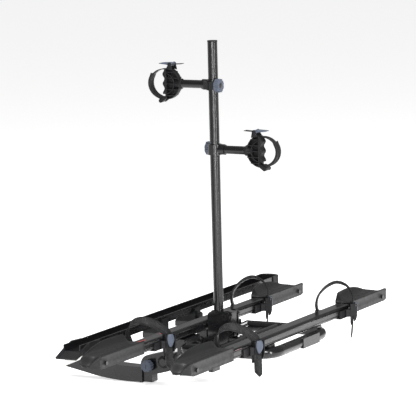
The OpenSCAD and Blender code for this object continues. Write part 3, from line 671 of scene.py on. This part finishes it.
def add_ratchet_details(prefix):
    """Heads of the ratchet's pin and a rounded shoulder on each cheek of its housing."""
    centre, buckle, across, outward, side = station_centre(prefix)
    body = prefix + "_station"
    for edge in (-1, 1):
        rings = []
        for reach, radius in ((17.2, 3.6), (18.6, 3.6), (19.2, 3.1), (19.4, 2.0)):
            spot = buckle + outward * HINGE_OUT + Vector((0, 0, PIN_HEIGHT)) + across * (edge * reach * MM)
            rings.append([spot + outward * (radius * MM * math.cos(a))
                          + Vector((0, 0, radius * MM * math.sin(a)))
                          for a in (2 * math.pi * k / 24 for k in range(24))])
        letter = "a" if edge < 0 else "b"
        new_object(f"{prefix}_pin_head_{letter}", *loft(rings), COAT, body, "black_coat")
        # rounded shoulder over each cheek's lower half
        rings = []
        for i in range(13):
            t = i / 12
            depth = (6.0 + 7.5 * math.sin(math.pi * t) ** 0.7) * MM
            spot = buckle + Vector((0, 0, HOOP_HEIGHT + (8 + 48 * t) * MM)) + across * (edge * 16.2 * MM)
            rings.append([
                spot - across * 1.5 * MM + outward * 1 * MM,
                spot - across * 1.5 * MM + outward * depth,
                spot + across * 1.7 * MM + outward * (depth - 1.2 * MM),
                spot + across * 1.7 * MM + outward * 1 * MM,
            ])
        new_object(f"{prefix}_cheek_{letter}", *loft(rings), PLASTIC, body, "black_plastic",
                   bevel=0.7 * MM)


# ---------- hooks ----------

CRADLE_Y = 172 * MM
CRADLE_R = 53 * MM
PAD_Y = 168 * MM
RING_Y = 176 * MM
LEVER_PIVOT = (150 * MM, 63 * MM)
STRAP_PIVOT = (186 * MM, -56 * MM)
HOOK_WIDTH = 36 * MM
RING_STRETCH = 1.1
RING_RADIUS = 47.0 * MM
RIB_HEIGHTS = (-38, -19, 0, 19, 38)  # in mm from the arm's axis
RIB_HALF = 1.6 * MM
SHELL_THICKNESS = 3.6 * MM
EAR_THICKNESS = 3.4 * MM
PAD_LOW = -34 * MM
PAD_HIGH = 46 * MM


class Arm:
    """One support arm's own axes: out from the mast, up, and across."""

    def __init__(self, which):
        self.which = which
        self.origin = Vector((MAST_AXIS.x, MAST_AXIS.y, middle(which + "_collar").z))
        self.out = Vector((0, 1 if which == "upper" else -1, 0))

    def place(self, out, up, across):
        """A point given in the arm's own axes."""
        return self.origin + self.out * out + Vector((across, 0, up))


def scalloped_edge(first, last, steps):
    """The wavy inner edge of a hook's pad, as (out, up) points from first to last height."""
    points = []
    for i in range(steps + 1):
        up = first + (last - first) * i / steps
        wave = math.cos(up / (15.5 * MM) * math.pi)
        points.append((PAD_Y + 6.0 * MM + 3.2 * MM * wave, up))
    return points


def add_hook(arm):
    """The ratchet hook's body: web, shell, wall, ribs, ears and hub."""
    name = arm.which
    body = name + "_hook_body"
    slot = "black_plastic"
    back = arc((CRADLE_Y, 0), CRADLE_R, 96, 264, 40)
    front = [(PAD_Y, -CRADLE_R + 3 * MM), (PAD_Y, CRADLE_R - 3 * MM)]
    web = slab(back + front, 6 * MM, arm.place)
    new_object(name + "_hook_web", *web, PLASTIC, body, slot, [name + "_hook"], bevel=1.0 * MM)
    # outer shell round the back
    outer = arc((CRADLE_Y, 0), CRADLE_R, 98, 262, 40)
    inner = list(reversed(arc((CRADLE_Y, 0), CRADLE_R - SHELL_THICKNESS, 98, 262, 40)))
    new_object(name + "_hook_shell", *slab(outer + inner, 20 * MM, arm.place), PLASTIC, body, slot,
               bevel=0.8 * MM)
    # inner wall behind the pad
    wall = [(PAD_Y - 4 * MM, -CRADLE_R + 4 * MM), (PAD_Y, -CRADLE_R + 4 * MM),
            (PAD_Y, CRADLE_R - 4 * MM), (PAD_Y - 4 * MM, CRADLE_R - 4 * MM)]
    new_object(name + "_hook_wall", *slab(wall, HOOK_WIDTH - 2 * MM, arm.place), PLASTIC, body, slot,
               bevel=0.8 * MM)
    # ribs between the shell and the wall
    for number, up in enumerate(RIB_HEIGHTS):
        height = up * MM
        reach = math.sqrt((CRADLE_R - 1 * MM) ** 2 - height ** 2)
        rib = [(CRADLE_Y - reach, height - RIB_HALF), (PAD_Y - 2 * MM, height - RIB_HALF),
               (PAD_Y - 2 * MM, height + RIB_HALF), (CRADLE_Y - reach, height + RIB_HALF)]
        new_object(f"{name}_hook_rib_{number}", *slab(rib, HOOK_WIDTH - 4 * MM, arm.place), PLASTIC, body,
                   slot, bevel=0.6 * MM)
    ring = arc((CRADLE_Y, 0), CRADLE_R - 17 * MM, 104, 256, 30)
    ring_in = list(reversed(arc((CRADLE_Y, 0), CRADLE_R - 20 * MM, 104, 256, 30)))
    new_object(name + "_hook_inner_ring", *slab(ring + ring_in, HOOK_WIDTH - 6 * MM, arm.place), PLASTIC,
               body, slot, bevel=0.6 * MM)
    # ratchet housing on top and the ears of both pivots
    ratchet = arc(LEVER_PIVOT, 6.6 * MM, -20, 200, 14) + [
        (LEVER_PIVOT[0] - 10 * MM, 44 * MM), (LEVER_PIVOT[0] + 14 * MM, 48 * MM)]
    for side in (-1, 1):
        offset = side * (HOOK_WIDTH / 2 - 1.8 * MM)
        new_object(f"{name}_hook_ear_top_{'left' if side < 0 else 'right'}",
                   *slab(ratchet, EAR_THICKNESS, lambda a, b, c: arm.place(a, b, c + offset)), PLASTIC, body,
                   slot, bevel=0.6 * MM)
        ear = arc(STRAP_PIVOT, 6.6 * MM, -120, 60, 12) + [(176 * MM, -42 * MM), (160 * MM, -45 * MM)]
        new_object(f"{name}_hook_ear_low_{'left' if side < 0 else 'right'}",
                   *slab(ear, EAR_THICKNESS, lambda a, b, c: arm.place(a, b, c + offset)), PLASTIC, body,
                   slot, bevel=0.6 * MM)
    # round hub where the hook turns on its arm
    hub = []
    for out, radius in ((112.2, 15.0), (113.5, 17.0), (122, 17.0), (124, 15.5), (140, 14.0)):
        hub.append([arm.place(out * MM, radius * MM * math.sin(a), radius * MM * math.cos(a))
                    for a in (2 * math.pi * k / 40 for k in range(40))])
    new_object(name + "_hook_hub", *loft(hub), PLASTIC, body, slot, bevel=0.5 * MM)


def add_pivot_ring(prefix, body, centre, axis, inner, outer, height, teeth, material, slot):
    """A flange with notches round its rim, seen face on at the end of a pivot."""
    axis = axis.normalized()
    first = axis.orthogonal().normalized()
    second = axis.cross(first)
    count = teeth * 8
    rings = []
    for reach, size in ((0, outer), (height * 0.8, outer), (height, outer - 1.2 * MM), (height, inner)):
        ring = []
        for k in range(count):
            angle = 2 * math.pi * k / count
            notch = 1.6 * MM if k % 8 < 3 and size > inner else 0
            ring.append(centre + axis * reach + first * ((size - notch) * math.cos(angle))
                        + second * ((size - notch) * math.sin(angle)))
        rings.append(ring)
    new_object(prefix, *loft(rings), material, body, slot, bevel=0.3 * MM)


def add_hook_pad(arm):
    """The scalloped rubber pad that a bike's tube lies against."""
    name = arm.which
    wave = scalloped_edge(PAD_LOW, PAD_HIGH, 60)
    outline = [(PAD_Y + 0.2 * MM, PAD_HIGH), (PAD_Y + 0.2 * MM, PAD_LOW)] + wave
    new_object(name + "_hook_scalloped_pad", *slab(outline, HOOK_WIDTH - 3 * MM, arm.place), RUBBER,
               name + "_hook_body", "rubber", [name + "_hook_pad"], bevel=1.6 * MM, angle=50)


def ring_point(arm, angle, radius):
    """A point on the strap's loop, a little longer outwards than it is high."""
    return arm.place(RING_Y + radius * RING_STRETCH * math.cos(angle), radius * math.sin(angle), 0)


def add_hook_strap(arm):
    """The toothed strap that closes a hook, with its padded stretch and its eye."""
    name = arm.which
    body = name + "_strap_body"
    across = Vector((1, 0, 0))
    path = []
    steps = 260
    for i in range(steps + 1):
        angle = math.radians(-90 + (90 + 96) * i / steps)
        outward = arm.out * math.cos(angle) + Vector((0, 0, math.sin(angle)))
        path.append((ring_point(arm, angle, RING_RADIUS), outward, across))
    verts, faces = band(path, lambda run: (-12 * MM, 12 * MM), 2.4 * MM, 4.5 * MM, 1.0 * MM)
    new_object(name + "_hook_band", verts, faces, STRAP, body, "strap_plastic", [name + "_hook_strap"])
    # thick padded stretch on the outer half, its rails drawn out to a point at both ends
    rings = []
    steps = 72
    for i in range(steps + 1):
        t = i / steps
        angle = math.radians(-80 + 120 * t)
        flare = 2.6 * MM * (max(0.0, 1 - t / 0.1) ** 1.5 + max(0.0, 1 - (1 - t) / 0.1) ** 1.5)
        inner = 44.2 * MM + flare * 0.9
        outer = 51.2 * MM + flare
        half = 14.2 * MM
        groove = 2.6 * MM
        profile = [(-half, inner + 1.2 * MM), (-half + 1.2 * MM, inner), (half - 1.2 * MM, inner),
                   (half, inner + 1.2 * MM), (half, outer - 0.9 * MM), (half - 0.9 * MM, outer),
                   (half - 3.4 * MM, outer), (half - 4.6 * MM, outer - groove),
                   (-half + 4.6 * MM, outer - groove), (-half + 3.4 * MM, outer),
                   (-half + 0.9 * MM, outer), (-half, outer - 0.9 * MM)]
        rings.append([ring_point(arm, angle, r) + across * a for a, r in profile])
    new_object(name + "_hook_strap_pad", *loft(rings), RUBBER, body, "strap_plastic", bevel=0.4 * MM)
    # lower end that turns on the cradle's pivot
    tip = [(176 * MM, -44 * MM), (190 * MM, -43 * MM), (192 * MM, -50 * MM)] + arc(
        STRAP_PIVOT, 5.8 * MM, -20, -160, 10)
    new_object(name + "_hook_strap_eye", *slab(tip, HOOK_WIDTH - 9 * MM, arm.place), STRAP, body,
               "strap_plastic", bevel=0.8 * MM)


def add_hook_lever(arm):
    """The thumb lever on top of a hook, with the strap's loose tail under it."""
    name = arm.which
    pivot_out, pivot_up = LEVER_PIVOT
    outline = arc(LEVER_PIVOT, 5.8 * MM, 100, 260, 10) + [
        (pivot_out + 16 * MM, pivot_up - 1 * MM),
        (pivot_out + 41 * MM, pivot_up + 1.5 * MM),
        (pivot_out + 42 * MM, pivot_up + 3.2 * MM),
        (pivot_out + 30 * MM, pivot_up + 4.6 * MM),
        (pivot_out + 10 * MM, pivot_up + 5.6 * MM),
    ]
    new_object(name + "_ratchet_lever", *slab(outline, HOOK_WIDTH - 8.5 * MM, arm.place), SLATE,
               name + "_lever_body", "slate_plastic", [name + "_hook_lever"], bevel=1.2 * MM)
    # the strap's loose tail, clipped under the lever, towards the mast
    steps = 60
    path = []
    for i in range(steps + 1):
        t = i / steps
        out = pivot_out - 4 * MM - 35 * MM * t
        up = pivot_up + 0.6 * MM + 1.6 * MM * t * t
        path.append((arm.place(out, up, 0), Vector((0, 0, 1)), Vector((1, 0, 0))))
    verts, faces = band(path, lambda run: (-10 * MM, 10 * MM), 2.0 * MM, 4.5 * MM, 0.9 * MM)
    new_object(name + "_strap_tail", verts, faces, STRAP, name + "_lever_body", "strap_plastic")


# ---------- small finishing pieces ----------

KNUCKLE_HALF = 25.6 * MM
# the cheek bolts' places in mm from the mast's axis at the hoop's height, as (towards the vehicle, up)
CHEEK_BOLTS = ((100, -42), (62, -14), (134, -66))

def add_mark(name, beam, x0, x1, low, high, side, material):
    """A plain printed strip on one side of a beam (side -1 faces out from the rack), or on its top (0)."""
    box_low, box_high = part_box(beam)
    outline = []
    for cx, cz, first in ((x1 - 1.5, high - 1.5, 0), (x0 + 1.5, high - 1.5, 90),
                          (x0 + 1.5, low + 1.5, 180), (x1 - 1.5, low + 1.5, 270)):
        outline += arc((cx * MM, cz * MM), 1.5 * MM, first, first + 90, 4)
    if side:
        face = box_low[1] if side < 0 else box_high[1]
        verts, faces = slab(outline, 0.5 * MM, lambda a, b, c: Vector((a, face + c, BEAM_BASE + b)))
    else:
        centre = (box_low[1] + box_high[1]) / 2
        verts, faces = slab(outline, 0.5 * MM, lambda a, b, c: Vector((a, centre + b, BEAM_TOP + c)))
    new_object(name, verts, faces, material, "frame", "strap_plastic")


def bolt_head(name, centre, axis, radius, height, body, material, slot, sides=6):
    """A domed or six sided bolt head on a thin washer, its face along axis."""
    axis = axis.normalized()
    first = axis.orthogonal().normalized()
    second = axis.cross(first)
    rings = []
    for reach, size, corners in ((0, 1.32, 24), (0.18, 1.32, 24), (0.2, 1.0, sides), (0.86, 1.0, sides),
                                 (1.0, 0.84, sides)):
        ring = []
        for k in range(24):
            angle = 2 * math.pi * k / 24
            reach_out = radius * size
            if corners < 24:
                slice_angle = 2 * math.pi / corners
                local = (angle + slice_angle / 2) % slice_angle - slice_angle / 2
                reach_out *= math.cos(slice_angle / 2) / math.cos(local)
            ring.append(centre + axis * (height * reach) + first * (reach_out * math.cos(angle))
                        + second * (reach_out * math.sin(angle)))
        rings.append(ring)
    new_object(name, *loft(rings), material, body, slot, bevel=0.3 * MM)


def add_beam_ribs(node):
    """Fine rounded ribs that run along both sides of a beam, as on an extruded profile."""
    low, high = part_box(node)
    for side in (-1, 1):
        face = low[1] if side < 0 else high[1]
        side_word = "out" if side < 0 else "in"
        for number, (height, size) in enumerate(((9, 1.0), (25.5, 1.3))):
            rings = []
            for x in (low[0] + 2 * MM, high[0] - 2 * MM):
                ring = []
                for k in range(10):
                    angle = math.pi * k / 9
                    ring.append(Vector((x, face + side * (size * math.sin(angle) - 0.2) * MM,
                                        BEAM_BASE + (height + 1.8 * size * math.cos(angle)) * MM)))
                rings.append(ring)
            new_object(f"{node}_rib_{side_word}_{number}", *loft(rings), COAT, "frame", "black_coat")


def add_tilt_washers():
    """A notched washer at each end of the tilt pivot bolt."""
    pivot = middle("tilt_pivot_bolt")
    for end, side_word in ((-1, "left"), (1, "right")):
        add_pivot_ring("tilt_washer_" + side_word, "hitch", Vector((end * KNUCKLE_HALF, pivot.y, pivot.z)),
                       Vector((end, 0, 0)), 9 * MM, 21 * MM, 4.4 * MM, 12, PLASTIC, "black_plastic")


def add_lock_core(arm):
    """The round core of the lock in an arm's clamp knob."""
    node = arm.which + "_arm_knob"
    low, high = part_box(node)
    knob = middle(node)
    face_y = low[1] if arm.out.y > 0 else high[1]
    centre = Vector((knob.x, face_y + arm.out.y * 0.2 * MM, knob.z))
    bolt_head(arm.which + "_lock_core", centre, -arm.out, 7.5 * MM, 1.2 * MM, arm.which + "_knob", COAT,
              "black_coat", 24)


def add_cheek_bolts():
    """Three bolt heads on the outside of each tilt side plate."""
    low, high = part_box("tilt_cheeks")
    for end, face_x, side_word in ((-1, low[0], "left"), (1, high[0], "right")):
        for number, (y, z) in enumerate(CHEEK_BOLTS):
            centre = MAST_DATUM + Vector((0, y * MM, z * MM)) + Vector((face_x, 0, 0))
            bolt_head(f"cheek_bolt_{side_word}_{number}", centre, Vector((end, 0, 0)), 6.5 * MM, 5 * MM,
                      "frame", COAT, "black_coat")


add_camera()
add_floor()
add_light()
finish_cad_nodes()
for tray in ("far", "near"):
    for side_name in ("left", "right"):
        add_cup(f"{tray}_{side_name}_cup")
        add_wheel_strap(f"{tray}_{side_name}")
        add_strap_lever(f"{tray}_{side_name}")
        add_ratchet_details(f"{tray}_{side_name}")
for which_arm in ("upper", "lower"):
    support_arm = Arm(which_arm)
    add_hook(support_arm)
    add_hook_pad(support_arm)
    add_hook_strap(support_arm)
    add_hook_lever(support_arm)

add_mark("near_beam_mark", "near_beam", -438, -392, 24, 29, -1, PALE_MARK)
add_mark("far_beam_mark_long", "far_beam", -446, -398, -5, 5, 0, MARK)
add_mark("far_beam_mark_short", "far_beam", -296, -268, -5, 5, 0, MARK)
add_tilt_washers()
for which_arm in ("upper", "lower"):
    add_lock_core(Arm(which_arm))
for tray in ("far", "near"):
    add_beam_ribs(tray + "_beam")
add_cheek_bolts()
